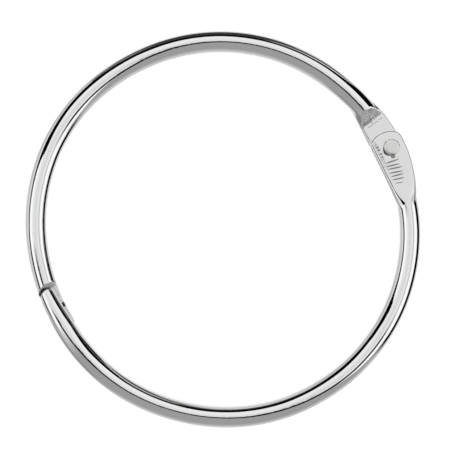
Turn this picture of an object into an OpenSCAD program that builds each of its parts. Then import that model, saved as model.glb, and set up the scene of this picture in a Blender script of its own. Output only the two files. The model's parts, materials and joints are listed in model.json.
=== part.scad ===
// Hinged loose-leaf binder ring of round wire: two half rings, flattened at one end into leaves that
// turn on a rivet, and hooked together at the other end by a half-lap snap.
// The ring lies flat. Its axis is Z, the hinge is on +X, the snap is on -X, and Z = 0 is the surface it lies on.

/* [Ring] */
// Inside diameter of the closed ring, measured square to the line from hinge to snap
inside_d = 50.8; // [25:0.1:90]
// Wire diameter
wire_d = 3; // [2.4:0.05:3.6]
// How much narrower the opening is along the line from hinge to snap
bow = 1.05; // [0.2:0.05:1.6]

/* [Hinge leaves] */
// Width of a leaf at the rivet, over its rounded edges
leaf_w = 4.8; // [4:0.05:5.6]
// How much less the upper half's leaf stands out on its outer side
upper_leaf_trim = 0.3; // [0:0.02:0.5]
// How deep the die presses a leaf's outer face below the crown of the wire
press = 0.28; // [0.15:0.01:0.4]
// Running gap between the two leaves
leaf_gap = 0.04; // [0.02:0.01:0.1]
// How far from the hinge line a leaf's outer edge has blended into the wire
blend_len = 7.2; // [6:0.1:9]
// Reach of a leaf's nose past the rivet
nose_len = 2.45; // [2.1:0.05:3]
// Radius of the sheared nose, in plan
nose_r = 3.3; // [3:0.1:6]
// Distance along the wire from the hinge line to the foot of the step down to the leaf
step_foot = 4.6; // [4:0.1:6]
// Slope of that step, from the leaf's face
step_slope = 41; // [30:1:60]

/* [Rivet] */
// Shank diameter
rivet_d = 1.6; // [1.2:0.05:2]
// Diameter of the upset head, on the upper face
upset_head_d = 2.35; // [2.1:0.05:3]
// Diameter of the factory head, on the underside
factory_head_d = 2.8; // [2.2:0.05:3.2]
// How far the rivet stands outward of the wire's centre line
rivet_offset = 0.35; // [0:0.01:0.5]
// Radial running clearance of the shank in the leaf that turns
rivet_clearance = 0.05; // [0.02:0.01:0.1]
// Axial running clearance under the upset head
head_clearance = 0.03; // [0.02:0.01:0.06]

/* [Snap] */
// Length of the half lap, from shoulder to shoulder
lap_len = 5.8; // [4.5:0.1:8]
// Height of the hook at the middle of each tongue
hook_h = 0.25; // [0.1:0.01:0.35]
// Gap between the crests of the hooks as they pass
hook_gap = 0.05; // [0.02:0.01:0.1]
// Gap between a tongue's end and the shoulder it meets
end_gap = 0.2; // [0.1:0.01:0.4]
// Slope of the shoulders, from the lap's face
shoulder_slope = 64; // [50:1:80]
// Turn of the shoulders and hooks away from square across the wire
shoulder_skew = 12; // [0:1:20]
// How much narrower the upper tongue's tip is, on its inner side
tip_narrow_w = 0.5; // [0.1:0.05:0.8]

/* [Hidden] */
$fn = 96;
eps = 0.01;

plating = "silver";
wire_r = wire_d / 2;
bend_r = (inside_d + wire_d - bow) / 2;      // to the wire's centre line, about each half's own centre
half_centre = bow / 2;                      // each half's bend centre stands this far off the hinge line
hinge_x = sqrt(bend_r * bend_r - half_centre * half_centre);
outer_r = bend_r + wire_r;
reach = 3 * wire_d;                         // half size of the cutting blocks, well clear of the wire

// A leaf in the half's own frame, where Z = 0 is the middle of the wire and the leaf is on the -Z side
leaf_face = -leaf_gap / 2;
leaf_back = press - wire_r;
leaf_t = leaf_face - leaf_back;
press_allowance = 0.02;                     // the leaf is made this much too thick, then cut to its faces
inner_flank_r = leaf_t / 2 + press_allowance;
outer_flank_r = 0.8 * leaf_t;               // the spread edge is only barrelled
leaf_mid = (leaf_face + leaf_back) / 2;
leaf_outer = hinge_x + leaf_w / 2;
leaf_inner = hinge_x - leaf_w / 2;
blend_x = sqrt(pow(outer_r, 2) - pow(blend_len - half_centre, 2));

// The origin is the middle of the whole ring's footprint, which is longest from the snap to the lower leaf
shift_x = (leaf_outer - hinge_x - wire_r) / 2;

rivet_x = hinge_x + rivet_offset;
step_run = (wire_r - leaf_face) / tan(step_slope);
press_run = 0.57 * wire_d;                  // length over which the pressed face rises to the wire's crown
press_end = blend_len + wire_d / 4;         // where the pressed face has run out
nose_shift = leaf_w / 10;                   // the nose's arc is centred this far inward of the rivet

lap_face = -hook_gap / 2;                   // crest of the lower tongue's hook
lap_root = lap_face - hook_h;               // the recess beside it
hook_run = hook_h / tan(45);
shoulder_run = (wire_r - lap_root) / tan(shoulder_slope);

// Angle about the half's own centre of a point on its wire, from its distance along the wire past the hinge line
function wire_angle(along) = (along / bend_r) * 180 / PI - asin(half_centre / bend_r);

// Where an arc through a leaf's widest point and through the point where it leaves the wire is centred
function edge_centre(outer) = (pow(outer, 2) - pow(blend_x, 2) - pow(blend_len, 2)) / (2 * (outer - blend_x));

// Cuts run across the wire: a profile given as [distance along Y, height Z], extruded along X
module across(profile, width) {
    rotate([90, 0, 90])
        linear_extrude(height = width, center = true)
            polygon(profile);
}

module at_own_centre(angle) {
    translate([0, half_centre, 0])
        rotate([0, 0, angle])
            children();
}

// Round wire from the hinge line to past the snap
module wire_arc() {
    sweep = wire_angle(PI * bend_r + lap_len) - wire_angle(0);
    at_own_centre(wire_angle(0))
        rotate_extrude(angle = sweep)
            translate([bend_r, 0])
                circle(r = wire_r);
}

// A flat strip with one full-round side, in a plane that holds Z
module rounded_strip(length, flank_r) {
    union() {
        translate([-length, -flank_r])
            square([length - flank_r, 2 * flank_r]);
        translate([-flank_r, 0])
            circle(r = flank_r);
    }
}

// The metal that the die spreads sideways: a barrelled arc outside, a full-round straight edge inside
module leaf_blank(trim) {
    outer = leaf_outer - trim;
    edge_x = edge_centre(outer);
    edge_r = outer - edge_x;
    translate([0, 0, leaf_mid])
        intersection() {
            translate([edge_x, 0, 0])
                rotate([0, 0, -90])
                    rotate_extrude(angle = 180)
                        translate([edge_r, 0])
                            rounded_strip(edge_r / 2, outer_flank_r);
            translate([leaf_inner, 0, 0])
                rotate([90, 0, 0])
                    linear_extrude(height = 6 * wire_d, center = true)
                        mirror([1, 0])
                            rounded_strip(2 * leaf_w, inner_flank_r);
        }
}

// Removes what lies above the leaf, up the sloping step to the full wire
module step_cut() {
    at_own_centre(wire_angle(step_foot))
        translate([bend_r, 0, 0])
            across([[-2 * reach, leaf_face], [0, leaf_face], [step_run, wire_r], [step_run, reach], [-2 * reach, reach]],
                2 * reach);
}

// Presses the leaf's back face flat, and runs out gently into the wire
module press_cut() {
    at_own_centre(wire_angle(press_end))
        translate([bend_r, 0, 0])
            across([[-2 * reach, leaf_back], [-press_run, leaf_back], [0, -wire_r], [0, -reach], [-2 * reach, -reach]],
                2 * reach);
}

// Shears the leaf's end to its arc
module nose_cut() {
    translate([rivet_x - nose_shift, nose_r - nose_len, 0])
        difference() {
            translate([-reach, -2 * reach, -reach])
                cube([2 * reach, 2 * reach, 2 * reach]);
            cylinder(r = nose_r, h = 3 * reach, center = true);
        }
}

// The half lap, in the half's own frame: everything above this profile goes. Y runs back along the wire.
module lap_cut(skew) {
    back = lap_len / 2;
    translate([-hinge_x, 0, 0])
        rotate([0, 0, skew])
            across([[-2 * reach, lap_face], [-hook_run / 2, lap_face], [hook_run / 2, lap_root], [back, lap_root],
                [back + shoulder_run, wire_r], [back + shoulder_run, reach], [-2 * reach, reach]], 4 * reach);
}

// Ends the tongue short of the other half's shoulder, with a domed end
module tongue_end_cut(skew) {
    end = lap_len / 2 - end_gap;
    dome_r = 1.6 * wire_r;
    translate([-hinge_x, 0, 0])
        rotate([0, 0, skew])
            difference() {
                translate([-reach, -2 * reach, -reach])
                    cube([2 * reach, 2 * reach - end + dome_r / 2, 2 * reach]);
                translate([0, dome_r - end, 0])
                    sphere(r = dome_r);
            }
}

// Narrows a tongue on its inner side, towards its end
module taper_cut(taper) {
    inner = wire_r - taper;
    translate([-hinge_x, 0, -reach])
        linear_extrude(height = 2 * reach)
            polygon([[wire_r + eps, lap_len / 2], [inner, -lap_len / 2], [inner, -reach], [reach, -reach], [reach, lap_len / 2]]);
}

// A half ring in its own frame: +Y side, middle of the wire at Z = 0, leaf and tongue on the -Z side
module half_ring(bore_r, skew, taper, trim) {
    difference() {
        union() {
            wire_arc();
            leaf_blank(trim);
        }
        step_cut();
        press_cut();
        nose_cut();
        translate([rivet_x, 0, 0])
            cylinder(r = bore_r, h = 2 * reach, center = true);
        lap_cut(skew);
        tongue_end_cut(skew);
        if (taper > 0)
            taper_cut(taper);
    }
}

module upper_half() {
    color(plating)
        translate([-shift_x, 0, wire_r])
            half_ring(rivet_d / 2, shoulder_skew, 0, upper_leaf_trim);
}

// The same forging turned over, so that its leaf and its tongue lie on top
module lower_half() {
    color(plating)
        translate([-shift_x, 0, wire_r])
            rotate([180, 0, 0])
                half_ring(rivet_d / 2 + rivet_clearance, -shoulder_skew, tip_narrow_w, 0);
}

// A flat head with a rounded rim, standing on Z = 0
module rivet_head(d, h) {
    rim = 0.7 * h;
    steps = 6;
    rotate_extrude()
        polygon(concat(
            [[0, 0], [d / 2, 0]],
            [for (i = [0 : steps]) let (a = 90 * i / steps) [d / 2 - rim + rim * cos(a), h - rim + rim * sin(a)]],
            [[0, h]]));
}

module hinge_rivet() {
    under = wire_r + leaf_back;
    over = wire_r - leaf_back + head_clearance;
    head_h = press - head_clearance;
    color(plating)
        translate([rivet_x - shift_x, 0, 0])
            union() {
                translate([0, 0, under - eps])
                    cylinder(r = rivet_d / 2, h = over - under + 2 * eps);
                translate([0, 0, over])
                    rivet_head(upset_head_d, head_h);
                translate([0, 0, under])
                    mirror([0, 0, 1])
                        rivet_head(factory_head_d, head_h);
            }
}

upper_half();
lower_half();
hinge_rivet();
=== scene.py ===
import json
import math

import bmesh
import bpy
import numpy as np
from mathutils import Matrix, Vector

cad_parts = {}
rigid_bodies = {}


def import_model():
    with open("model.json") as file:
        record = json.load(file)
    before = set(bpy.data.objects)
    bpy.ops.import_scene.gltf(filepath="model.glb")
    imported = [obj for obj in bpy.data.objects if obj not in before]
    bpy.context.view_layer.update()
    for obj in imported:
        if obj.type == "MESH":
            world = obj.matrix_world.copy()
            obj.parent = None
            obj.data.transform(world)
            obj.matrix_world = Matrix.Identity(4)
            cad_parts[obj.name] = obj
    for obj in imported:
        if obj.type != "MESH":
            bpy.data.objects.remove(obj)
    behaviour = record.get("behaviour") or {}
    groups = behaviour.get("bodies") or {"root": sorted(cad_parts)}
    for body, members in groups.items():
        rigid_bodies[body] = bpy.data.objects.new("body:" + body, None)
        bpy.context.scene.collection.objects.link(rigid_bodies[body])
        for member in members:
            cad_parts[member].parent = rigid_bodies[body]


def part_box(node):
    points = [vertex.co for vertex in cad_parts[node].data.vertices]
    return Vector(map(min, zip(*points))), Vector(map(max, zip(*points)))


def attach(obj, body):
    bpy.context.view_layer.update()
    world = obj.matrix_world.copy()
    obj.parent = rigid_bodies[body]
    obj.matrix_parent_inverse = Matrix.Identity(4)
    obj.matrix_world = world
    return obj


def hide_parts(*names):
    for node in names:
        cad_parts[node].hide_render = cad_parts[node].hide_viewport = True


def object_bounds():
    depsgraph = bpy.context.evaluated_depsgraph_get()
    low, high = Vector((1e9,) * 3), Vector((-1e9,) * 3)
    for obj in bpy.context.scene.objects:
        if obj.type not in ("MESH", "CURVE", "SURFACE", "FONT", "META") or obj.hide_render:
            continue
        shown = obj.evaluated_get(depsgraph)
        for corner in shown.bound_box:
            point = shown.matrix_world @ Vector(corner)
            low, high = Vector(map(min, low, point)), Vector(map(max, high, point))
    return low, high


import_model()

cad_low, cad_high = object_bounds()
rivet_low, rivet_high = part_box("hinge_rivet")

# ---------------------------------------------------------------------------
# Sizes, in millimetres. MM turns them into metres where a mesh is written.
# A half ring is shaped in its own frame: Z = 0 is the middle of its wire, its
# leaf and tongue are on the -Z side, and it bends round (0, HALF_CENTRE).
# ---------------------------------------------------------------------------
MM = 0.001
WIRE_D = (cad_high.z - cad_low.z) / MM
WIRE_R = WIRE_D / 2
INSIDE_D = (cad_high.y - cad_low.y) / MM - 2 * WIRE_D
BOW = 1.05
BEND_R = (INSIDE_D + WIRE_D - BOW) / 2
HALF_CENTRE = BOW / 2
CENTRE_TILT = math.asin(HALF_CENTRE / BEND_R)
HINGE_X = math.sqrt(BEND_R ** 2 - HALF_CENTRE ** 2)

LEAF_W = 4.8
UPPER_LEAF_TRIM = 0.3
PRESS = 0.28
LEAF_GAP = 0.04
BLEND_LEN = 7.2
NOSE_LEN = 2.45
NOSE_R = 3.3
NOSE_SHIFT = LEAF_W / 10
STEP_FOOT = 4.6
LOWER_STEP_FOOT = 4.9
STEP_SLOPE = math.radians(35)
STEP_HOLLOW = 0.09
LEAF_FACE = -LEAF_GAP / 2
LEAF_BACK = PRESS - WIRE_R
LEAF_MID = (LEAF_FACE + LEAF_BACK) / 2
INNER_FLANK_R = (LEAF_FACE - LEAF_BACK) / 2 + 0.02
OUTER_FLANK_R = 0.8 * (LEAF_FACE - LEAF_BACK)
LEAF_OUTER = HINGE_X + LEAF_W / 2
LEAF_INNER = HINGE_X - LEAF_W / 2
BLEND_X = math.sqrt((BEND_R + WIRE_R) ** 2 - (BLEND_LEN - HALF_CENTRE) ** 2)
PRESS_RUN = 0.57 * WIRE_D
PRESS_END = BLEND_LEN + WIRE_D / 4

SHIFT_X = (LEAF_OUTER - HINGE_X - WIRE_R) / 2
RIVET_X = (rivet_low.x + rivet_high.x) / 2 / MM
RIVET_HALF_X = RIVET_X + SHIFT_X

UPSET_HEAD_R = 2.35 / 2
FACTORY_HEAD_R = (rivet_high.x - rivet_low.x) / MM / 2
RIVET_R = 0.8
RIVET_BASE = rivet_low.z / MM
HEAD_H = 0.25
HEAD_SEAT = rivet_high.z / MM - HEAD_H
FACTORY_TOP = RIVET_BASE + HEAD_H
LOBE_OUT = 1.22
LOBE_TURN = math.radians(-106)
LOBE_R = 0.34
LOBE_X = LOBE_OUT * math.cos(LOBE_TURN)
LOBE_Y = LOBE_OUT * math.sin(LOBE_TURN)
LIP_TURN = math.radians(196)
LIP_SPREAD = math.radians(40)
LIP_LIFT = 0.03
# The lip's section, from under the head outward: (past the rim, above the seat)
LIP_SECTION = ((0.03, 0.0), (0.07, 0.01), (0.10, 0.05), (0.14, 0.075), (0.18, 0.05), (0.21, 0.0),
               (0.20, -0.025))
HEAD_FACE_SHARE = 0.93
FACTORY_EDGE_R = 0.16
FACTORY_EDGE_DROP = 0.05
NECK_FILLET = 0.05

LAP_LEN = 5.8
HOOK_H = 0.25
HOOK_GAP = 0.05
END_GAP = 0.2
SHOULDER_SLOPE = math.radians(64)
SHOULDER_SKEW = math.radians(12)
TIP_NARROW = 0.8
TIP_R = 1.9
TIP_OFF_CENTRE = 0.35
LAP_FACE = -HOOK_GAP / 2
LAP_ROOT = LAP_FACE - HOOK_H

# How softly the forging's surfaces run into each other
SEAM_BLEND = 0.9
EDGE_BLEND = 0.14
NOSE_BLEND = 0.34
TIP_BLEND = 0.35
FOOT_BLEND = 0.12
FOOT_RELIEF = 0.2
PRESS_BLEND = 0.5

# Where the swept wire takes over from the two shaped ends, along the wire, and how the ends are sampled
SNAP_ALONG = BEND_R * (math.pi + 2 * CENTRE_TILT)
LEAF_END = 10.8
SECTION_STEP = 0.072
LEAF_SECTIONS = np.arange(0, LEAF_END + 1e-6, SECTION_STEP)
TONGUE_START = SNAP_ALONG - 6.6
TONGUE_SECTIONS = np.linspace(TONGUE_START, SNAP_ALONG + LAP_LEN / 2 - END_GAP - 0.6, 118)
TONGUE_DEPTH = -0.72
LEAF_CAP_ROWS = 72
TONGUE_CAP_ROWS = 44
WELD_GAP = 0.0015
NO_METAL = 9.0

# How far each half has sprung out of its true bend: (degrees from the hinge, outward millimetres)
UPPER_SPRING = ((0, 0), (15, 0), (23, -0.15), (35, -0.135), (50, -0.10), (65, -0.07), (85, -0.07),
                (95, -0.03), (104, 0.07), (114, 0.18), (129, 0.24), (139, 0.14), (149, 0.065),
                (159, -0.04), (166, -0.11), (190, -0.11))
LOWER_SPRING = ((0, 0), (15, 0), (22, 0.07), (30, 0.085), (41, 0.115), (56, 0.115), (73, 0.10),
                (84, 0), (97, 0), (106, -0.05), (116, -0.14), (131, -0.20), (141, -0.14),
                (151, -0.05), (190, -0.04))

SIDES = 128
WIRE_RINGS = 176
RAYS = 1152
RIVET_SIDES = 192

# Turning a half over about its hinge line
TURNED_OVER = np.array([1, -1, -1])

# The share of light that the plating sends back: the room's levels are what the plating shows
PLATE_BRIGHT = 0.88


# ---------------------------------------------------------------------------
# The forging as one field: negative inside the metal, about a distance outside
# ---------------------------------------------------------------------------
def soft_min(a, b, k):
    h = np.maximum(k - np.abs(a - b), 0) / k
    return np.minimum(a, b) - h * h * k / 4


def soft_max(a, b, k):
    return -soft_min(-a, -b, k)


def wire_field(x, y, z, narrow):
    """The bent round wire; narrow draws it in on its inner side towards the tip of the tongue."""
    drawn = np.clip(0.5 - y / LAP_LEN, 0, 1.1) ** 1.6 * narrow * (x < 0)
    rho = np.hypot(x, y - HALF_CENTRE)
    return np.hypot(rho - BEND_R - drawn / 2, z) - (WIRE_R - drawn / 2)


def leaf_field(x, y, z, trim):
    """The metal spread sideways by the die: barrelled on its outer arc, round on its straight inner side."""
    outer = LEAF_OUTER - trim
    edge_x = (outer ** 2 - BLEND_X ** 2 - BLEND_LEN ** 2) / (2 * (outer - BLEND_X))
    edge_r = outer - edge_x
    height = z - LEAF_MID
    past_outer = np.maximum(np.hypot(x - edge_x, y) - (edge_r - OUTER_FLANK_R), 0)
    past_inner = np.maximum(LEAF_INNER + INNER_FLANK_R - x, 0)
    return np.maximum(np.hypot(past_outer, height) - OUTER_FLANK_R,
                      np.hypot(past_inner, height) - INNER_FLANK_R)


def ease(value, start, end):
    t = np.clip((np.asarray(value, float) - start) / (end - start), 0, 1)
    return t * t * (3 - 2 * t)


def along_from(x, y, foot):
    """Distance along the wire's tangent, and off its bend, from the section at foot."""
    angle = foot / BEND_R - CENTRE_TILT
    dx = x - BEND_R * math.cos(angle)
    dy = y - HALF_CENTRE - BEND_R * math.sin(angle)
    return -dx * math.sin(angle) + dy * math.cos(angle)


def step_field(x, y, z, foot):
    """Above the leaf's face, and above the slope up to the full wire, there is no metal."""
    run = along_from(x, y, foot) - FOOT_RELIEF * ease(x, BEND_R - 0.6, BEND_R + 0.4)
    face = z - LEAF_FACE
    climb = np.maximum(run, 0)
    slope = (z - LEAF_FACE - run * math.tan(STEP_SLOPE) - STEP_HOLLOW * climb ** 2) * math.cos(STEP_SLOPE)
    return soft_min(face, slope, FOOT_BLEND)


def press_field(x, y, z):
    """The pressed back of the leaf, running out into the wire's crown."""
    run = along_from(x, y, PRESS_END) + PRESS_RUN
    rise = PRESS / PRESS_RUN
    slope = (LEAF_BACK - run * rise - z) / math.hypot(1, rise)
    return soft_min(LEAF_BACK - z, slope, PRESS_BLEND)


def nose_field(x, y):
    """The rounded free end of the leaf."""
    centre_x = RIVET_HALF_X - NOSE_SHIFT
    centre_y = NOSE_R - NOSE_LEN
    return np.hypot(x - centre_x, np.minimum(y - centre_y, 0)) - NOSE_R - np.maximum(y - BLEND_LEN / 2, 0)


def on_the_lap(x, y, skew):
    """Distances along the lap, from its middle towards the wire, and across it."""
    run = (x + HINGE_X) * -math.sin(skew) + y * math.cos(skew)
    side = (x + HINGE_X) * math.cos(skew) + y * math.sin(skew)
    return run, side


def lap_field(x, y, z, skew):
    """The half lap: the hook's crest, the recess behind it, and the sloping shoulder."""
    run, _ = on_the_lap(x, y, skew)
    crest = z - LAP_FACE
    hook = (z - (LAP_FACE + LAP_ROOT) / 2 + run) * math.sqrt(0.5)
    root = z - LAP_ROOT
    top = np.maximum(crest, np.minimum(hook, root))
    shoulder = (z - LAP_ROOT - (run - LAP_LEN / 2) * math.tan(SHOULDER_SLOPE)) * math.cos(SHOULDER_SLOPE)
    return np.minimum(top, shoulder)


def tongue_end_field(x, y, z, skew):
    """The rounded tip of the tongue, sloping as the other half's shoulder does."""
    run, side = on_the_lap(x, y, skew)
    reach = LAP_LEN / 2 - (z + LAP_ROOT) / math.tan(SHOULDER_SLOPE) - END_GAP
    return np.hypot(side - TIP_OFF_CENTRE, np.minimum(run + reach - TIP_R, 0)) - TIP_R - np.maximum(run, 0)


def forging_field(p, skew, narrow, trim, foot):
    """One half ring: the wire with its pressed leaf at the hinge and its cut tongue at the snap."""
    x, y, z = p[..., 0], p[..., 1], p[..., 2]
    near_an_end = y < LEAF_END + 2
    near_hinge = (x > 0) & near_an_end
    near_snap = (x < 0) & near_an_end
    body = wire_field(x, y, z, narrow)
    leaf = np.where(near_hinge, leaf_field(x, y, z, trim), NO_METAL)
    seam = SEAM_BLEND * (1 - ease(y, BLEND_LEN - 1.5, BLEND_LEN + 2)) + 1e-4
    body = np.maximum(soft_min(body, leaf, seam), np.abs(z) - WIRE_R)
    at_hinge = soft_max(body, step_field(x, y, z, foot), EDGE_BLEND)
    at_hinge = soft_max(at_hinge, press_field(x, y, z), EDGE_BLEND)
    at_hinge = soft_max(at_hinge, nose_field(x, y), NOSE_BLEND)
    at_snap = soft_max(body, lap_field(x, y, z, skew), EDGE_BLEND)
    at_snap = soft_max(at_snap, tongue_end_field(x, y, z, skew), TIP_BLEND)
    return np.where(near_hinge, at_hinge, np.where(near_snap, at_snap, body))


# ---------------------------------------------------------------------------
# Lofting: closed rows of points, found by sending rays out from the middle of
# the metal, then shared out so that they crowd where the surface turns
# ---------------------------------------------------------------------------
def surface_hits(field, origin, directions, reach=7.0):
    """Where rays from inside the metal leave it, found by halving."""
    near = np.zeros(directions.shape[:-1])
    far = np.full(directions.shape[:-1], reach)
    for _ in range(34):
        middle = (near + far) / 2
        inside = field(origin + directions * middle[..., None]) < 0
        near = np.where(inside, middle, near)
        far = np.where(inside, far, middle)
    return origin + directions * ((near + far) / 2)[..., None]


def share_out(points, count, turn_weight=0.5):
    """Resample closed rows of points to count each, by length plus a share for how much they turn."""
    ahead = np.roll(points, -1, axis=1) - points
    length = np.linalg.norm(ahead, axis=2)
    unit = ahead / np.maximum(length, 1e-12)[..., None]
    turn = np.linalg.norm(unit - np.roll(unit, 1, axis=1), axis=2)
    smooth = turn.copy()
    for shift in range(1, 9):
        smooth = smooth + np.roll(turn, shift, axis=1) + np.roll(turn, -shift, axis=1)
    weight = length + turn_weight * np.minimum(smooth / 17, 0.4)
    rows = []
    for row, row_weight in zip(points, weight):
        mark = np.concatenate([[0], np.cumsum(row_weight)])
        closed = np.vstack([row, row[:1]])
        wanted = np.linspace(0, mark[-1], count, endpoint=False)
        rows.append(np.stack([np.interp(wanted, mark, closed[:, k]) for k in range(3)], axis=1))
    return np.array(rows)


def wire_frame(along):
    """Centre, outward and forward directions of the wire's section, for each distance along it."""
    angle = np.asarray(along, float) / BEND_R - CENTRE_TILT
    zero = np.zeros_like(angle)
    outward = np.stack([np.cos(angle), np.sin(angle), zero], axis=-1)
    forward = np.stack([-np.sin(angle), np.cos(angle), zero], axis=-1)
    centre = outward * BEND_R + np.array([0, HALF_CENTRE, 0])
    return centre, outward, forward


UP = np.array([0.0, 0.0, 1.0])


def section_rows(field, along, depth):
    """One closed row of points for each section of the wire, seen from depth below its middle."""
    centre, outward, _ = wire_frame(along)
    origin = centre + UP * np.asarray(depth)[:, None]
    turn = np.linspace(-math.pi / 2, 1.5 * math.pi, RAYS, endpoint=False)
    rays = (np.cos(turn)[None, :, None] * outward[:, None, :]
            + np.sin(turn)[None, :, None] * UP)
    return share_out(surface_hits(field, origin[:, None, :], rays), SIDES)


def cap_rows(field, along, depth, ahead, steps):
    """Rows that close an end, by rays tipped more and more towards it, and its last point."""
    centre, outward, forward = (v[0] for v in wire_frame([along]))
    origin = centre + UP * depth
    turn = np.linspace(-math.pi / 2, 1.5 * math.pi, RAYS, endpoint=False)
    tip = np.linspace(0, math.pi / 2, steps + 1)[1:-1]
    flat = np.cos(turn)[:, None] * outward + np.sin(turn)[:, None] * UP
    rays = (np.cos(tip)[:, None, None] * flat[None]
            + np.sin(tip)[:, None, None] * (ahead * forward))
    rows = share_out(surface_hits(field, origin, rays), SIDES)
    pole = surface_hits(field, origin, (ahead * forward)[None])
    return rows, pole[0]


def loft(rows, pole=None):
    """Vertices and quads of closed rows, with a fan to the pole before the first row."""
    count = rows.shape[1]
    points = rows.reshape(-1, 3)
    here = np.arange(rows.shape[0] - 1)[:, None] * count
    side = np.arange(count)[None, :]
    after = (side + 1) % count
    quads = np.stack([here + side, here + after, here + count + after, here + count + side], axis=-1)
    faces = quads.reshape(-1, 4).tolist()
    if pole is not None:
        tip = len(points)
        points = np.vstack([points, pole])
        faces += [[tip, (k + 1) % count, k] for k in range(count)]
    return points, faces


# ---------------------------------------------------------------------------
# Node trees
# ---------------------------------------------------------------------------
class Wiring:
    """A node tree in the making: nodes are linked as they are added."""

    def __init__(self, tree):
        self.tree = tree

    def node(self, kind, inputs=(), **settings):
        made = self.tree.nodes.new(kind)
        for key, value in settings.items():
            setattr(made, key, value)
        for key, value in dict(inputs).items():
            self.feed(value, made.inputs[key])
        return made

    def feed(self, value, socket):
        if isinstance(value, bpy.types.NodeSocket):
            self.tree.links.new(value, socket)
        else:
            socket.default_value = value

    def math(self, operation, *values):
        return self.node("ShaderNodeMath", dict(enumerate(values)), operation=operation).outputs[0]

    def blend(self, mask, without, covered):
        """From one value to another where the mask covers."""
        made = self.node("ShaderNodeMix", {0: mask, 2: without, 3: covered}, data_type="FLOAT")
        return made.outputs[0]

    def rise(self, value, start, end, low=0.0, high=1.0):
        """A smooth step from low to high as the value goes from start to end."""
        made = self.node("ShaderNodeMapRange", {
            "Value": value, "From Min": start, "From Max": end, "To Min": low, "To Max": high},
            interpolation_type="SMOOTHSTEP")
        return made.outputs[0]

    def along_azimuth(self, azimuth, knots):
        """A value drawn over the compass: knots of (degrees round, value), for values up to a half turn."""
        made = self.node("ShaderNodeFloatCurve", {"Value": azimuth})
        points = made.mapping.curves[0].points
        first, last = knots[0], knots[-1]
        knots = [(0, first[1])] * (first[0] > 0) + knots + [(360, last[1])] * (last[0] < 360)
        for _ in range(len(knots) - 2):
            points.new(0.5, 0.5)
        for point, (round_at, value) in zip(points, knots):
            point.location = (round_at / 360, value / 180)
            point.handle_type = "AUTO_CLAMPED"
        made.mapping.update()
        return self.math("MULTIPLY", made.outputs[0], 180.0)


class Tree(Wiring):
    """A geometry tree in the making, with named inputs."""

    def __init__(self, name, inputs):
        super().__init__(bpy.data.node_groups.new(name, "GeometryNodeTree"))
        self.ids = {}
        self.tree.interface.new_socket("Geometry", in_out="INPUT", socket_type="NodeSocketGeometry")
        for label, (kind, value) in inputs.items():
            socket = self.tree.interface.new_socket(label, in_out="INPUT", socket_type="NodeSocket" + kind)
            if value is not None:
                socket.default_value = value
            self.ids[label] = socket.identifier
        self.tree.interface.new_socket("Geometry", in_out="OUTPUT", socket_type="NodeSocketGeometry")
        self.start = self.tree.nodes.new("NodeGroupInput")
        self.end = self.tree.nodes.new("NodeGroupOutput")

    def feed(self, value, socket):
        """Link a socket, or an input by its label, or set a plain value."""
        super().feed(self.start.outputs[value] if isinstance(value, str) else value, socket)

    def close(self, geometry):
        realized = self.node("GeometryNodeRealizeInstances", {"Geometry": geometry})
        smooth = self.node("GeometryNodeSetShadeSmooth", {"Geometry": realized.outputs[0]})
        finish = self.node("GeometryNodeSetMaterial", {"Geometry": smooth.outputs[0], "Material": "Finish"})
        self.tree.links.new(finish.outputs[0], self.end.inputs[0])
        return self

    def grow(self, name, **values):
        """Run the tree on an empty mesh and return what it makes, as a plain mesh."""
        host = bpy.data.objects.new(name, bpy.data.meshes.new(name))
        bpy.context.scene.collection.objects.link(host)
        modifier = host.modifiers.new(name, "NODES")
        modifier.node_group = self.tree
        for label, value in values.items():
            modifier[self.ids[label.replace("_", " ")]] = value
        host.update_tag()
        bpy.context.view_layer.update()
        depsgraph = bpy.context.evaluated_depsgraph_get()
        mesh = bpy.data.meshes.new_from_object(host.evaluated_get(depsgraph), depsgraph=depsgraph)
        bpy.data.objects.remove(host)
        return mesh


def wire_sweep_tree():
    """Round wire swept along its bend."""
    tree = Tree("wire_sweep", {
        "Bend radius": ("Float", BEND_R * MM), "Wire radius": ("Float", WIRE_R * MM),
        "Start angle": ("Float", 0.0), "Sweep angle": ("Float", math.pi),
        "Rings": ("Int", WIRE_RINGS), "Sides": ("Int", SIDES), "Finish": ("Material", None)})
    bend = tree.node("GeometryNodeCurveArc", {
        "Resolution": "Rings", "Radius": "Bend radius",
        "Start Angle": "Start angle", "Sweep Angle": "Sweep angle"})
    section = tree.node("GeometryNodeCurvePrimitiveCircle", {"Resolution": "Sides", "Radius": "Wire radius"})
    swept = tree.node("GeometryNodeCurveToMesh", {
        "Curve": bend.outputs["Curve"], "Profile Curve": section.outputs["Curve"]})
    return tree.close(swept.outputs["Mesh"])


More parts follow.
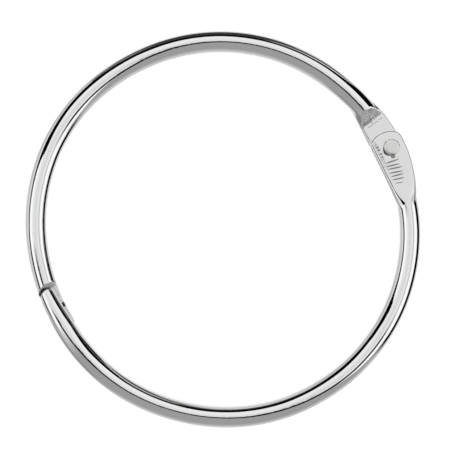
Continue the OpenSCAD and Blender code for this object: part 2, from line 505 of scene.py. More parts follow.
def struck_marks_tree():
    """Low raised marks left by the dies: a row round the ring's bend, each across it or along it."""
    tree = Tree("struck_marks", {
        "Count": ("Int", 8), "Centre": ("Vector", (0, 0, 0)), "First angle": ("Float", 0.0),
        "Angle step": ("Float", 0.0), "Angle spread": ("Float", 0.0), "Radius": ("Float", 0.026),
        "Radius step": ("Float", 0.0), "Radius spread": ("Float", 0.0), "Shortest": ("Float", 0.001),
        "Longest": ("Float", 0.002), "Width": ("Float", 0.0002), "Height": ("Float", 0.00006),
        "Turn": ("Float", 0.0), "Turn spread": ("Float", 0.0), "Foot angle": ("Float", 0.0),
        "Climb": ("Float", 0.0), "Tilt": ("Float", 0.0), "Seed": ("Int", 1), "Finish": ("Material", None)})

    def chance(low, high, channel):
        seed = tree.math("ADD", "Seed", float(channel * 37))
        return tree.node("FunctionNodeRandomValue", {2: low, 3: high, 8: seed}, data_type="FLOAT").outputs[1]

    def row(first, step, spread, channel):
        """The value for each mark: a first one, a step from mark to mark, and a random spread."""
        even = tree.math("ADD", first, tree.math("MULTIPLY", place, step))
        return tree.math("ADD", even, tree.math("MULTIPLY", spread, chance(-1.0, 1.0, channel)))

    place = tree.node("GeometryNodeInputIndex").outputs[0]
    angle = row("First angle", "Angle step", "Angle spread", 1)
    radius = row("Radius", "Radius step", "Radius spread", 2)
    past_foot = tree.math("MAXIMUM", tree.math("SUBTRACT", angle, "Foot angle"), 0.0)
    spot = tree.node("ShaderNodeCombineXYZ", {
        "X": tree.math("MULTIPLY", radius, tree.math("COSINE", angle)),
        "Y": tree.math("MULTIPLY", radius, tree.math("SINE", angle)),
        "Z": tree.math("MULTIPLY", "Climb", past_foot)})
    spot = tree.node("ShaderNodeVectorMath", {0: spot.outputs[0], 1: "Centre"}, operation="ADD")
    points = tree.node("GeometryNodePoints", {"Count": "Count", "Position": spot.outputs[0]})
    bead = tree.node("GeometryNodeMeshUVSphere", {"Segments": 16, "Rings": 10, "Radius": 0.5})
    turned = tree.math("ADD", tree.math("ADD", angle, "Turn"),
                       tree.math("MULTIPLY", "Turn spread", chance(-1.0, 1.0, 3)))
    euler = tree.node("ShaderNodeCombineXYZ", {"Y": tree.math("MULTIPLY", "Tilt", -1.0), "Z": turned})
    rotation = tree.node("FunctionNodeEulerToRotation", {0: euler.outputs[0]})
    scale = tree.node("ShaderNodeCombineXYZ", {
        "X": chance("Shortest", "Longest", 4), "Y": "Width", "Z": tree.math("MULTIPLY", "Height", 2.0)})
    marks = tree.node("GeometryNodeInstanceOnPoints", {
        "Points": points.outputs[0], "Instance": bead.outputs["Mesh"],
        "Rotation": rotation.outputs[0], "Scale": scale.outputs[0]})
    return tree.close(marks.outputs[0])


# ---------------------------------------------------------------------------
# Pieces
# ---------------------------------------------------------------------------
def mesh_arrays(mesh):
    """A mesh's vertices and faces."""
    points = np.zeros(len(mesh.vertices) * 3)
    mesh.vertices.foreach_get("co", points)
    return points.reshape(-1, 3), [list(face.vertices) for face in mesh.polygons]


def welded(parts, gap):
    """One mesh from several lists of vertices and faces, joined where their rims meet."""
    shape = bmesh.new()
    for points, faces in parts:
        made = [shape.verts.new(point) for point in points]
        for face in faces:
            shape.faces.new([made[k] for k in face])
    before = len(shape.verts)
    bmesh.ops.remove_doubles(shape, verts=shape.verts[:], dist=gap)
    joined = before - len(shape.verts)
    bmesh.ops.recalc_face_normals(shape, faces=shape.faces[:])
    open_edges = sum(1 for edge in shape.edges if not edge.is_manifold)
    mesh = bpy.data.meshes.new("forging")
    shape.to_mesh(mesh)
    shape.free()
    print(f"welded {joined} points, {open_edges} open edges")
    return mesh


def field_normals(field, points):
    """Directions in which the field rises fastest: the forging's own normals."""
    step = 0.002
    slopes = []
    for axis in range(3):
        offset = np.zeros(3)
        offset[axis] = step
        slopes.append(field(points + offset) - field(points - offset))
    normals = np.stack(slopes, axis=-1)
    return normals / np.maximum(np.linalg.norm(normals, axis=-1, keepdims=True), 1e-12)


def round_the_bend(points):
    """Directions outward from the bend's centre, distances from it, and turns from the hinge."""
    outward = points[:, :2] - np.array([0, HALF_CENTRE])
    away = np.linalg.norm(outward, axis=1)
    turn = np.arctan2(outward[:, 1], outward[:, 0])
    return outward / away[:, None], away, np.where(turn < -math.pi / 2, turn + 2 * math.pi, turn)


def sprung(points, spring):
    """The half as it rests after forming, a little out of its true bend."""
    reach = 9
    fine = np.arange(-20.0, 211.0)
    wave = np.interp(fine, *np.array(spring).T)
    bell = np.exp(-(np.arange(-reach, reach + 1) / 4.0) ** 2)
    wave = np.convolve(np.pad(wave, reach, "edge"), bell / bell.sum(), "valid")
    outward, _, turn = round_the_bend(points)
    moved = points.copy()
    moved[:, :2] += outward * np.interp(np.degrees(turn), fine, wave)[:, None]
    return moved


def straightened(points):
    """Places on the half as if its wire were unbent: along it, outward and up."""
    _, away, turn = round_the_bend(points)
    return np.stack([turn * BEND_R, away - BEND_R, points[:, 2]], axis=1)


def struck_and_worn(points, skew, foot):
    """How far the dies have cut or pressed the metal, and the painted shade: dark in the deep corner of the
    lap's shoulder, and a darker spot on the lap.
    """
    x, y, z = points.T
    at_hinge = (x > 0) & (y < LEAF_END)
    at_snap = (x < 0) & (np.abs(y) < LAP_LEN)

    def near(field):
        return np.exp(-(field / 0.06) ** 2)

    ramp = near(step_field(x, y, z, foot)) * ease(z, LEAF_FACE + 0.05, LEAF_FACE + 0.25)
    pressed = 0.12 * np.maximum(near(z - LEAF_BACK), near(z - LEAF_FACE)) * ease(-y, -BLEND_LEN, -5.5)
    lap = np.maximum(near(lap_field(x, y, z, skew)), 0.5 * near(tongue_end_field(x, y, z, skew)))
    struck = np.where(at_hinge, np.maximum(ramp, pressed), 0) + np.where(at_snap, lap, 0)
    run, side = on_the_lap(x, y, skew)
    # Painted shade in the deep corner of the lap's shoulder, darkest on its outer side, and a darker spot at
    # the lap's middle on its inner side.
    shoulder = near(lap_field(x, y, z, skew)) * ease(run, LAP_LEN / 2 - 0.1, LAP_LEN / 2 + 0.15) * at_snap
    worn = shoulder * np.interp(side, [-1.4, -0.6, 0.1, 1.2], [1.0, 0.85, 0.4, 0.12])
    tooth = (np.abs(run) < 0.35) * near(lap_field(x, y, z, skew)) * ease(side, 0.7, 1.0) * at_snap
    return struck, np.maximum(worn, 0.9 * tooth)


def note(mesh, places, **shares):
    """Store what the finish reads: the unbent place in millimetres, how far it is struck, and how much shade
    is painted on it.
    """
    place = mesh.attributes.new("unbent", "FLOAT_VECTOR", "POINT")
    place.data.foreach_set("vector", np.asarray(places, float).ravel())
    for label, amount in shares.items():
        share = mesh.attributes.new(label, "FLOAT", "POINT")
        share.data.foreach_set("value", np.broadcast_to(amount, len(places)).astype(float).ravel())


def half_ring(name, finish, sweep_tree, skew, narrow, trim, foot, spring, turned_over):
    """Half ring: leaf and tongue lofted from the field, welded to the swept wire between them."""
    def field(p):
        return forging_field(p, skew, narrow, trim, foot)

    depth = LEAF_MID * (1 - ease(LEAF_SECTIONS, 5.0, 9.6))
    leaf_cap, leaf_pole = cap_rows(field, 0.0, LEAF_MID, -1, LEAF_CAP_ROWS)
    leaf_rows = np.vstack([leaf_cap[::-1], section_rows(field, LEAF_SECTIONS, depth)])

    depth = TONGUE_DEPTH * ease(TONGUE_SECTIONS, TONGUE_START + 0.3, SNAP_ALONG - 3.4)
    tongue_cap, tongue_pole = cap_rows(field, TONGUE_SECTIONS[-1], depth[-1], 1, TONGUE_CAP_ROWS)
    tongue_rows = np.vstack([section_rows(field, TONGUE_SECTIONS, depth), tongue_cap])

    leaf_end = float(LEAF_SECTIONS[-1])
    wire = sweep_tree.grow(name + "_wire", Start_angle=leaf_end / BEND_R - CENTRE_TILT,
                           Sweep_angle=(TONGUE_START - leaf_end) / BEND_R, Finish=finish)
    wire_points, wire_faces = mesh_arrays(wire)
    bpy.data.meshes.remove(wire)
    wire_points = wire_points / MM + np.array([0, HALF_CENTRE, 0])
    matching = (SIDES // 4 - np.arange(SIDES)) % SIDES
    wire_points[:SIDES] = leaf_rows[-1][matching]
    wire_points[-SIDES:] = tongue_rows[0][matching]

    mesh = welded([loft(leaf_rows, leaf_pole), (wire_points, wire_faces),
                   loft(tongue_rows[::-1], tongue_pole)], WELD_GAP)
    points, _ = mesh_arrays(mesh)
    normals = field_normals(field, points)
    # The struck share, and the painted shade at the lap's shoulder, are read from the field.
    struck, worn = struck_and_worn(points, skew, foot)
    note(mesh, straightened(points), struck=struck, worn=worn)
    points = sprung(points, spring)
    if turned_over:
        points = points * TURNED_OVER
        normals = normals * TURNED_OVER
    points = np.clip((points + np.array([-SHIFT_X, 0, WIRE_R])) * MM, list(cad_low), list(cad_high))
    mesh.vertices.foreach_set("co", points.ravel())
    mesh.polygons.foreach_set("use_smooth", [True] * len(mesh.polygons))
    mesh.normals_split_custom_set_from_vertices(normals)
    mesh.update()
    mesh.materials.append(finish)
    return placed(name, mesh)


def from_turn(turn, middle):
    """Turn past a middle one, from minus to plus half a turn."""
    return np.angle(np.exp(1j * (turn - middle)))


def lip_share(turn):
    """How far the squeezed lip stands out under the hammered head, in each direction."""
    return np.exp(-(from_turn(turn, LIP_TURN) / LIP_SPREAD) ** 2)


def rivet_rim(turn):
    """How far the hammered head reaches from the axis: uneven, with a lobe of squeezed metal."""
    wander = (0.022 * np.sin(2 * turn + 0.7) + 0.016 * np.sin(3 * turn + 2.1)
              + 0.010 * np.sin(5 * turn + 4.0) + 0.006 * np.sin(9 * turn + 1.2))
    rim = UPSET_HEAD_R - 0.03 + wander
    away = from_turn(turn, LOBE_TURN)
    across = LOBE_OUT * np.sin(away)
    lobe = LOBE_OUT * np.cos(away) + np.sqrt(np.maximum(LOBE_R ** 2 - across ** 2, 0))
    lobe = np.where((np.abs(across) < LOBE_R) & (np.cos(away) > 0), lobe, 0)
    return -soft_min(-rim, -lobe, 0.12)


def head_height(x, y):
    """Rise of the head's face over its seat: a low crown, a hammered flat, and the dimpled lobe."""
    out = np.hypot(x, y)
    crown = HEAD_H - 0.05 * (out / UPSET_HEAD_R) ** 4
    flat = HEAD_H - 0.012 - 0.02 * (x * 0.6 + y * 0.8)
    head = soft_min(crown, flat, 0.03)
    from_lobe = np.hypot(x - LOBE_X, y - LOBE_Y)
    lobe = 0.17 - 0.5 * from_lobe ** 2 + 0.018 * np.sin(21 * x + 2) * np.sin(25 * y)
    over_head = ease(UPSET_HEAD_R + 0.02 - out, -0.06, 0.14)
    return over_head * head + (1 - over_head) * lobe


def rivet_painted_shade(points):
    """Painted shade: dark in the crevice round the head's rim, most under the lip, and darker on the lobe."""
    x, y, _ = (points - np.array([RIVET_X, 0, 0])).T
    turn = np.arctan2(y, x)
    # Painted shade in the crevice under the head's rim, deepest at the lip; the lobe is darkened too.
    at_rim = ease(np.hypot(x, y) / rivet_rim(turn), 0.94, 1.0) * (0.35 + 0.6 * lip_share(turn))
    on_lobe = 0.5 * ease(LOBE_R - np.hypot(x - LOBE_X, y - LOBE_Y), -0.05, 0.1)
    return np.maximum(at_rim, on_lobe)


def hinge_rivet(name, finish):
    """Rivet: hammered head on the upper face, plain shank, low factory head beneath."""
    turn = np.linspace(0, 2 * math.pi, RIVET_SIDES, endpoint=False)
    rim = rivet_rim(turn)
    rows = []

    def ring(radius, height):
        rows.append(np.stack([radius * np.cos(turn), radius * np.sin(turn), height + 0 * turn], axis=1))

    for share in np.linspace(0.04, HEAD_FACE_SHARE, 44):
        radius = share * rim
        ring(radius, HEAD_SEAT + head_height(radius * np.cos(turn), radius * np.sin(turn)))
    face = rows[-1][:, 2]
    for share in np.linspace(0.1, 1, 9):
        roll = share * math.pi / 2
        drop = (face - HEAD_SEAT - LIP_LIFT) * (1 - math.cos(roll))
        ring(rim * (HEAD_FACE_SHARE + (1 - HEAD_FACE_SHARE) * math.sin(roll)), face - drop)
    lip = lip_share(turn)
    for beyond, height in LIP_SECTION:
        lifted = LIP_LIFT * (1 - lip) + height * lip - 0.02 * (height < 0)
        ring(rim + 0.01 + (beyond - 0.01) * lip, HEAD_SEAT + lifted)
    ring(RIVET_R + NECK_FILLET, HEAD_SEAT)
    ring(RIVET_R, HEAD_SEAT - NECK_FILLET)
    ring(RIVET_R, FACTORY_TOP + NECK_FILLET)
    ring(RIVET_R + NECK_FILLET, FACTORY_TOP)
    ring(FACTORY_HEAD_R - 0.06, FACTORY_TOP)
    edge = FACTORY_TOP - FACTORY_EDGE_DROP
    for share in np.linspace(0, 1, 9):
        roll = share * math.pi / 2
        ring(FACTORY_HEAD_R - FACTORY_EDGE_R * (1 - math.cos(roll)),
             edge - (edge - RIVET_BASE) * math.sin(roll))
    for share in np.linspace(0.85, 0.05, 12):
        ring(share * (FACTORY_HEAD_R - FACTORY_EDGE_R), RIVET_BASE)
    rows = np.array(rows)
    top = np.array([0, 0, HEAD_SEAT + float(head_height(0.0, 0.0))])
    points, faces = loft(rows, top)
    points = np.vstack([points, [[0, 0, RIVET_BASE]]])
    last = (len(rows) - 1) * len(turn)
    faces += [[len(points) - 1, last + k, last + (k + 1) % len(turn)] for k in range(len(turn))]
    mesh = welded([(points + np.array([RIVET_X, 0, 0]), faces)], 1e-6)
    # The rivet's painted shade lies round the head's rim and on its lobe.
    note(mesh, mesh_arrays(mesh)[0], struck=0.5, worn=rivet_painted_shade(mesh_arrays(mesh)[0]))
    mesh.transform(Matrix.Scale(MM, 4))
    mesh.polygons.foreach_set("use_smooth", [True] * len(mesh.polygons))
    mesh.materials.append(finish)
    return placed(name, mesh)


def placed(name, mesh):
    """A new object at the origin that holds the mesh."""
    mesh.name = name
    piece = bpy.data.objects.new(name, mesh)
    bpy.context.scene.collection.objects.link(piece)
    return piece


# ---------------------------------------------------------------------------
# Finishes
# ---------------------------------------------------------------------------
def plated_surface_group():
    """What the drawing, the dies and handling leave on the plating, from the unbent place in millimetres."""
    group = bpy.data.node_groups.new("plated_surface", "ShaderNodeTree")
    for label, kind in (("Place", "Vector"), ("Struck", "Float"), ("Ripple", "Float"),
                        ("Base roughness", "Float")):
        group.interface.new_socket(label, in_out="INPUT", socket_type="NodeSocket" + kind)
    for label in ("Height", "Roughness", "Tone"):
        group.interface.new_socket(label, in_out="OUTPUT", socket_type="NodeSocketFloat")
    wiring = Wiring(group)
    given = wiring.node("NodeGroupInput").outputs

    def noise(stretch, detail, roughness=0.5):
        mapping = wiring.node("ShaderNodeMapping", {"Vector": given["Place"], "Scale": stretch})
        made = wiring.node("ShaderNodeTexNoise", {
            "Vector": mapping.outputs[0], "Scale": 1.0, "Detail": detail, "Roughness": roughness})
        return made.outputs[0]

    ripple = wiring.math("MULTIPLY", noise((0.42, 0.55, 0.55), 2.0), given["Ripple"])
    drawn = noise((0.30, 11.0, 11.0), 3.0)
    nicks = wiring.rise(noise((5.5, 2.2, 2.2), 2.0, 0.6), 0.66, 0.76)
    hammered = wiring.math("MULTIPLY", noise((2.6, 2.6, 2.6), 3.0, 0.6), given["Struck"])
    height = wiring.math("ADD", ripple, wiring.math("MULTIPLY", drawn, 0.0007))
    height = wiring.math("ADD", height, wiring.math("MULTIPLY", nicks, -0.004))
    height = wiring.math("ADD", height, wiring.math("MULTIPLY", hammered, 0.014))
    scuffs = wiring.rise(noise((0.9, 3.5, 3.5), 4.0, 0.65), 0.5, 0.8)
    rough = wiring.math("ADD", given["Base roughness"], wiring.math("MULTIPLY", drawn, 0.03))
    rough = wiring.math("ADD", rough, wiring.math("MULTIPLY", scuffs, 0.05))
    rough = wiring.math("ADD", rough, wiring.math("MULTIPLY", given["Struck"], 0.24))
    tone = wiring.math("ADD", wiring.math("MULTIPLY", noise((0.11, 0.5, 0.5), 2.0), 0.8),
                       wiring.math("MULTIPLY", scuffs, 0.35))
    out = wiring.node("NodeGroupOutput")
    wiring.feed(height, out.inputs["Height"])
    wiring.feed(rough, out.inputs["Roughness"])
    wiring.feed(tone, out.inputs["Tone"])
    return group


# Colour of the painted shade, in crevices, at the lap's shoulder and on the dies' marks.
PAINTED_SHADE_COLOUR = (0.05, 0.046, 0.04)


def plating(name, surface, cool, warm, roughness, ripple):
    """Bright plating: mirror-like, drifting between a cool and a warm grey, with painted shade mixed in where
    the worn attribute asks.
    """
    material = bpy.data.materials.new(name)
    material.use_nodes = True
    wiring = Wiring(material.node_tree)
    shader = material.node_tree.nodes["Principled BSDF"]
    place = wiring.node("ShaderNodeAttribute", attribute_name="unbent")
    struck = wiring.node("ShaderNodeAttribute", attribute_name="struck")
    marks = wiring.node("ShaderNodeGroup", node_tree=surface)
    wiring.feed(place.outputs["Vector"], marks.inputs["Place"])
    wiring.feed(struck.outputs["Fac"], marks.inputs["Struck"])
    marks.inputs["Ripple"].default_value = ripple
    marks.inputs["Base roughness"].default_value = roughness
    tint = wiring.node("ShaderNodeMix", data_type="RGBA")
    wiring.feed(marks.outputs["Tone"], tint.inputs[0])
    tint.inputs[6].default_value = (*cool, 1)
    tint.inputs[7].default_value = (*warm, 1)
    # Painted shade: the plating's colour is mixed towards a near black where the attribute is high.
    worn = wiring.node("ShaderNodeAttribute", attribute_name="worn")
    shaded = wiring.node("ShaderNodeMix", data_type="RGBA")
    wiring.feed(worn.outputs["Fac"], shaded.inputs[0])
    wiring.feed(tint.outputs[2], shaded.inputs[6])
    shaded.inputs[7].default_value = (*PAINTED_SHADE_COLOUR, 1)
    wiring.feed(shaded.outputs[2], shader.inputs["Base Color"])
    wiring.feed(marks.outputs["Roughness"], shader.inputs["Roughness"])
    bump = wiring.node("ShaderNodeBump", {"Height": marks.outputs["Height"], "Distance": MM})
    wiring.feed(bump.outputs[0], shader.inputs["Normal"])
    shader.inputs["Metallic"].default_value = 1
    return material


# ---------------------------------------------------------------------------
# Studio
# ---------------------------------------------------------------------------
ROLL = math.radians(25.9)
FRAME_WIDTH = 0.0646


def strip_between_group():
    """Mask of a card in the room: from its upper to its lower edge, each with its own softness."""
    group = bpy.data.node_groups.new("strip_between", "ShaderNodeTree")
    for label in ("Down", "Upper edge", "Lower edge", "Upper softness", "Lower softness"):
        group.interface.new_socket(label, in_out="INPUT", socket_type="NodeSocketFloat")
    group.interface.new_socket("Mask", in_out="OUTPUT", socket_type="NodeSocketFloat")
    wiring = Wiring(group)
    given = wiring.node("NodeGroupInput").outputs
    below = wiring.math("SUBTRACT", given["Down"], given["Upper edge"])
    below = wiring.math("DIVIDE", below, given["Upper softness"])
    above = wiring.math("SUBTRACT", given["Lower edge"], given["Down"])
    above = wiring.math("DIVIDE", above, given["Lower softness"])
    mask = wiring.math("MULTIPLY", wiring.rise(below, -0.5, 0.5), wiring.rise(above, -0.5, 0.5))
    out = wiring.node("NodeGroupOutput")
    wiring.feed(mask, out.inputs["Mask"])
    return group


def room_world():
    """White room with dark cards round it, which only the metal's reflections show."""
    world = bpy.data.worlds.new("room")
    world.use_nodes = True
    wiring = Wiring(world.node_tree)
    background = world.node_tree.nodes["Background"]
    direction = wiring.node("ShaderNodeTexCoord").outputs["Generated"]

    def part_of(axis):
        made = wiring.node("ShaderNodeVectorMath", {0: direction, 1: axis}, operation="DOT_PRODUCT")
        return made.outputs["Value"]

    right = part_of((math.cos(ROLL), -math.sin(ROLL), 0))
    ahead = part_of((math.sin(ROLL), math.cos(ROLL), 0))
    turn = wiring.math("DIVIDE", wiring.math("ARCTAN2", ahead, right), 2 * math.pi)
    azimuth = wiring.math("FRACT", wiring.math("ADD", turn, 1.0))
    down = wiring.math("MULTIPLY", wiring.math("ARCCOSINE", part_of((0, 0, 1))), 180 / math.pi)
    strip = strip_between_group()

    def card(upper, lower, upper_softness, lower_softness):
        """Mask between two heights, in degrees down from overhead."""
        made = wiring.node("ShaderNodeGroup", node_tree=strip)
        for label, value in (("Down", down), ("Upper edge", upper), ("Lower edge", lower),
                             ("Upper softness", upper_softness), ("Lower softness", lower_softness)):
            wiring.feed(value, made.inputs[label])
        return made.outputs["Mask"]

    def sector(start, end, softness):
        """Mask between two places on the compass, in degrees."""
        opened = wiring.rise(azimuth, (start - softness) / 360, (start + softness) / 360)
        closed = wiring.rise(azimuth, (end - softness) / 360, (end + softness) / 360, 1.0, 0.0)
        return wiring.math("MULTIPLY", opened, closed)

    def sector_past_zero(start, end, softness):
        return wiring.math("MAXIMUM", sector(start, 420, softness), sector(-40, end, softness))

    def within(mask, *others):
        for other in others:
            mask = wiring.math("MULTIPLY", mask, other)
        return mask

    def stripe(middle, half, softness):
        """Mask of a stripe that follows a curve."""
        upper_edge = wiring.math("SUBTRACT", middle, half)
        return card(upper_edge, wiring.math("ADD", middle, half), softness, softness)

    def curve(*knots):
        return wiring.along_azimuth(azimuth, list(knots))

    # The ceiling, the bright windows to the right and the left, and the pale wall under them
    level = wiring.rise(down, 3, 34, 0.69, 0.81)
    right_window = within(card(50.0, 93.0, 10.0, 14.0), sector_past_zero(310, 30, 12))
    left_window = within(card(38.0, 62.0, 10.0, 8.0), sector(160, 206, 5))
    level = wiring.blend(wiring.math("MAXIMUM", right_window, left_window), level, 0.96)
    level = wiring.blend(card(87.0, 131.0, 14.0, 18.0), level, 0.57)

    # The table close under the wire
    rim = curve((0, 0.66), (35, 0.66), (60, 0.74), (80, 0.82), (110, 0.84), (150, 0.92), (200, 0.92),
                (215, 0.75), (228, 0.55), (312, 0.5), (330, 0.55), (345, 0.62), (360, 0.66))
    level = wiring.blend(card(134.0, 190.0, 16.0, 1.0), level, rim)

    # The grey wall at the front, which starts at the ceiling's edge line
    line = curve((0, 40), (30, 38), (60, 30), (176, 22), (190, 23), (198, 25), (205, 27), (213, 24),
                 (220, 14), (228, 8), (240, 4), (262, 3.5), (275, 6), (283, 9.5), (290, 14.5), (296, 22),
                 (304, 30), (310, 34.5), (316, 37), (322, 39), (328, 40), (340, 42), (360, 40))
    wall_end = curve((200, 0), (299, 0), (302, 22), (308, 46), (313, 58), (319, 72), (325, 84), (331, 99),
                     (337, 118), (345, 140))
    past_wall_end = wiring.rise(wiring.math("SUBTRACT", down, wall_end), -6, 6)
    wall = within(card(line, 148.0, 3.0, 30.0), sector(214, 350, 8), past_wall_end)
    wall_level = wiring.rise(down, 82, 140, 0.32, 0.62)
    level = wiring.blend(wall, level, wall_level)
    level = wiring.blend(within(card(70.0, 92.0, 10.0, 10.0), sector(197, 213, 6)), level, 0.3)
    level = wiring.blend(within(card(96.0, 122.0, 10.0, 12.0), sector(208, 232, 7)), level, 0.22)

    # The black card behind the ring, with a paler stretch near its middle
    upper = curve((34, 62), (40, 55), (46, 59), (52, 61), (60, 60), (70, 56), (80, 54), (88, 54), (100, 54),
                  (110, 51.5), (120, 51), (130, 50), (140, 51), (147, 46), (152, 41), (156, 37), (159, 49),
                  (164, 57), (176, 60), (186, 63), (196, 65), (204, 68))
    lower = curve((34, 106), (40, 120), (48, 121), (54, 122), (60, 117), (66, 112), (70, 107), (80, 99),
                  (90, 95), (100, 93), (110, 90), (120, 87), (130, 88), (140, 87), (150, 82), (158, 79),
                  (170, 77), (180, 78), (190, 82), (204, 84))
    card_level = wiring.math("MULTIPLY", wiring.rise(down, 68, 102, 0.0, 0.075), sector(70, 124, 10))
    card_level = wiring.math("ADD", card_level, wiring.math("MULTIPLY", sector(166, 186, 6), 0.08))
    level = wiring.blend(within(card(upper, lower, 4.0, 5.0), sector(30, 204, 5)), level, card_level)

    # The seam of light through the card, and the pale strip below its far end
    seam = curve((44, 124), (47, 115), (49, 107), (52, 97), (56, 92), (60, 88), (66, 84), (74, 80), (84, 76))
    seam_level = wiring.rise(azimuth, 58 / 360, 72 / 360, 0.62, 0.26)
    level = wiring.blend(within(stripe(seam, 7.0, 6.0), sector(46, 75, 3)), level, seam_level)
    level = wiring.blend(within(card(106.0, 120.0, 8.0, 10.0), sector(120, 168, 8)), level, 0.42)

    # The black band low on the right
    band = curve((0, 104), (12, 96), (30, 90), (38, 88), (200, 90), (318, 92), (326, 100), (335, 108),
                 (348, 105), (360, 104))
    level = wiring.blend(within(stripe(band, 19.5, 8.0), sector_past_zero(323, 38, 4)), level, 0.0)

    # The ceiling's edge line, faint to the right, and thin and black to the left and the front
    faint = within(stripe(line, 7.0, 9.0), sector_past_zero(324, 22, 10))
    level = wiring.blend(wiring.math("MULTIPLY", faint, 0.6), level, 0.35)
    level = wiring.blend(within(stripe(line, 8.5, 3.5), sector(188.5, 330, 6)), level, 0.0)

    rays = wiring.node("ShaderNodeLightPath").outputs
    mirrored = wiring.math("MAXIMUM", rays["Is Glossy Ray"], rays["Is Transmission Ray"])
    strength = wiring.blend(mirrored, 1.0, wiring.math("DIVIDE", level, PLATE_BRIGHT))
    wiring.feed(strength, background.inputs["Strength"])
    background.inputs["Color"].default_value = (1, 1, 1, 1)
    bpy.context.scene.world = world


def stage_sheet(name, points, faces, colour, glow=0.0):
    """A flat sheet of the set: plain matt, with an optional glow that only the camera meets."""
    mesh = bpy.data.meshes.new(name)
    mesh.from_pydata(points, [], faces)
    material = bpy.data.materials.new(name)
    material.use_nodes = True
    shader = material.node_tree.nodes["Principled BSDF"]
    shader.inputs["Base Color"].default_value = (*colour, 1)
    shader.inputs["Roughness"].default_value = 1
    shader.inputs["Specular IOR Level"].default_value = 0
    if glow:
        wiring = Wiring(material.node_tree)
        rays = wiring.node("ShaderNodeLightPath").outputs
        shader.inputs["Emission Color"].default_value = (1, 1, 1, 1)
        wiring.feed(wiring.math("MULTIPLY", rays["Is Camera Ray"], glow), shader.inputs["Emission Strength"])
    mesh.materials.append(material)
    sheet = bpy.data.objects.new(name, mesh)
    bpy.context.scene.collection.objects.link(sheet)
    return sheet


def table():
    """The white table that the ring lies on."""
    half = 0.6
    corners = [(-half, -half, 0), (half, -half, 0), (half, half, 0), (-half, half, 0)]
    sheet = stage_sheet("white_table", corners, [(0, 1, 2, 3)], (0.9, 0.9, 0.9), glow=0.32)
    sheet.visible_glossy = False


def dark_card_on_table():
    """A curved dark card lying outside the ring, which its far flank mirrors."""
    rounds = np.radians(np.arange(64, 134, 2))
    near = np.interp(rounds, np.radians([64, 68, 75, 90, 110, 122, 134]),
                     [0.05, 0.034, 0.033, 0.034, 0.034, 0.037, 0.046])
    points = []
    for turn, edge in zip(rounds, near):
        for reach in (edge, 0.34):
            points.append((reach * math.cos(turn - ROLL), reach * math.sin(turn - ROLL), -0.001))
    faces = [(2 * k, 2 * k + 1, 2 * k + 3, 2 * k + 2) for k in range(len(rounds) - 1)]
    sheet = stage_sheet("dark_card", points, faces, (0.05, 0.05, 0.05))
    sheet.visible_camera = False
    sheet.visible_diffuse = False
    sheet.visible_shadow = False


def overhead_lamp():
    """A wide lamp over the table, left out of the reflections, which softens the ring's shadow."""
    data = bpy.data.lights.new("overhead_lamp", "AREA")
    data.shape = "DISK"
    data.size = 0.5
    data.energy = 0.9
    lamp = bpy.data.objects.new("overhead_lamp", data)
    bpy.context.scene.collection.objects.link(lamp)
    lamp.location = (0, 0, 0.7)
    lamp.visible_glossy = False


def camera():
    """Straight down on the table, turned so that the hinge lies at the upper right."""
    data = bpy.data.cameras.new("camera")
    data.sensor_width = 36
    distance = 0.42
    data.lens = data.sensor_width * distance / FRAME_WIDTH
    cam = bpy.data.objects.new("camera", data)
    bpy.context.scene.collection.objects.link(cam)
    cam.location = (0.000223, 0.00021, distance)
    cam.rotation_euler = (0, 0, -ROLL)
    bpy.context.scene.camera = cam


bpy.context.scene.view_settings.view_transform = "Standard"
camera()
room_world()
table()
dark_card_on_table()
overhead_lamp()

sweep = wire_sweep_tree()
surface = plated_surface_group()
plated_wire = plating("plated_wire", surface, (0.872, 0.882, 0.89), (0.895, 0.885, 0.868), 0.02, 0.009)
upper = half_ring("upper_half_ring", plated_wire, sweep, skew=SHOULDER_SKEW, narrow=0.0,
                  trim=UPPER_LEAF_TRIM, foot=STEP_FOOT, spring=UPPER_SPRING, turned_over=False)
lower = half_ring("lower_half_ring", plated_wire, sweep, skew=-SHOULDER_SKEW, narrow=TIP_NARROW,
                  trim=0.0, foot=LOWER_STEP_FOOT, spring=LOWER_SPRING, turned_over=True)
plated_rivet = plating("plated_rivet", surface, (0.80, 0.82, 0.80), (0.845, 0.84, 0.825), 0.06, 0.012)
rivet = hinge_rivet("hammered_rivet", plated_rivet)
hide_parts("hinge_rivet")
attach(rivet, "fixed_half")
marks = struck_marks_tree()
lower_centre = Vector((-SHIFT_X, -HALF_CENTRE, WIRE_R - LEAF_BACK)) * MM
upper_centre = Vector((-SHIFT_X, HALF_CENTRE, WIRE_R + LEAF_FACE)) * MM
foot = STEP_FOOT / BEND_R - CENTRE_TILT
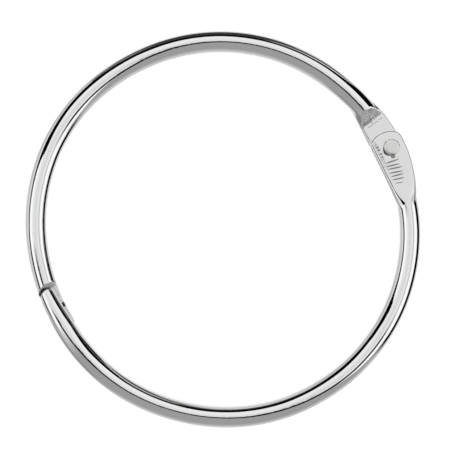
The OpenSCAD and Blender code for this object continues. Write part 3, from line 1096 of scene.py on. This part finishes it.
leaf_marks = placed("leaf_press_marks", marks.grow(
    "leaf_press_marks", Count=9, Centre=lower_centre, First_angle=math.radians(-2.9),
    Angle_step=math.radians(-1.17), Angle_spread=math.radians(0.08), Radius=25.85 * MM, Radius_step=0.02 * MM,
    Radius_spread=0.1 * MM, Shortest=1.7 * MM, Longest=2.2 * MM, Width=0.2 * MM, Height=0.07 * MM,
    Turn=math.radians(-6), Turn_spread=math.radians(3), Seed=4, Finish=plated_wire))
seat_marks = placed("rivet_side_marks", marks.grow(
    "rivet_side_marks", Count=4, Centre=lower_centre, First_angle=math.radians(3.3),
    Angle_step=math.radians(-1.25), Angle_spread=math.radians(0.1), Radius=24.92 * MM, Shortest=0.45 * MM,
    Longest=0.58 * MM, Width=0.2 * MM, Height=0.05 * MM, Turn=math.radians(-8),
    Turn_spread=math.radians(5), Seed=9, Finish=plated_wire))
streaks = placed("ramp_streaks", marks.grow(
    "ramp_streaks", Count=9, Centre=upper_centre, First_angle=foot + 0.33 / BEND_R, Angle_spread=0.2 / BEND_R,
    Radius=(BEND_R - 1.15) * MM, Radius_step=0.29 * MM, Radius_spread=0.06 * MM, Shortest=0.35 * MM,
    Longest=0.8 * MM, Width=0.14 * MM, Height=0.05 * MM, Turn=math.pi / 2, Turn_spread=math.radians(10),
    Foot_angle=foot, Climb=BEND_R * math.tan(STEP_SLOPE) * MM, Tilt=STEP_SLOPE, Seed=3, Finish=plated_wire))
dashes = placed("foot_dashes", marks.grow(
    "foot_dashes", Count=7, Centre=upper_centre, First_angle=foot - 0.42 / BEND_R, Angle_spread=0.06 / BEND_R,
    Radius=(BEND_R - 1.0) * MM, Radius_step=0.36 * MM, Shortest=0.2 * MM, Longest=0.38 * MM, Width=0.13 * MM,
    Height=0.018 * MM, Turn_spread=math.radians(12), Seed=6, Finish=plated_wire))
# The dies' marks get painted shade, darker than the plating, standing in for the shading of their relief.
for piece, body in ((leaf_marks, "swinging_half"), (seat_marks, "swinging_half"),
                    (streaks, "fixed_half"), (dashes, "fixed_half")):
    note(piece.data, mesh_arrays(piece.data)[0] / MM, struck=0.6, worn=0.35 if piece == streaks else 0.6)
    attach(piece, body)
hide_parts("upper_half")
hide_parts("lower_half")
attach(upper, "fixed_half")
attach(lower, "swinging_half")
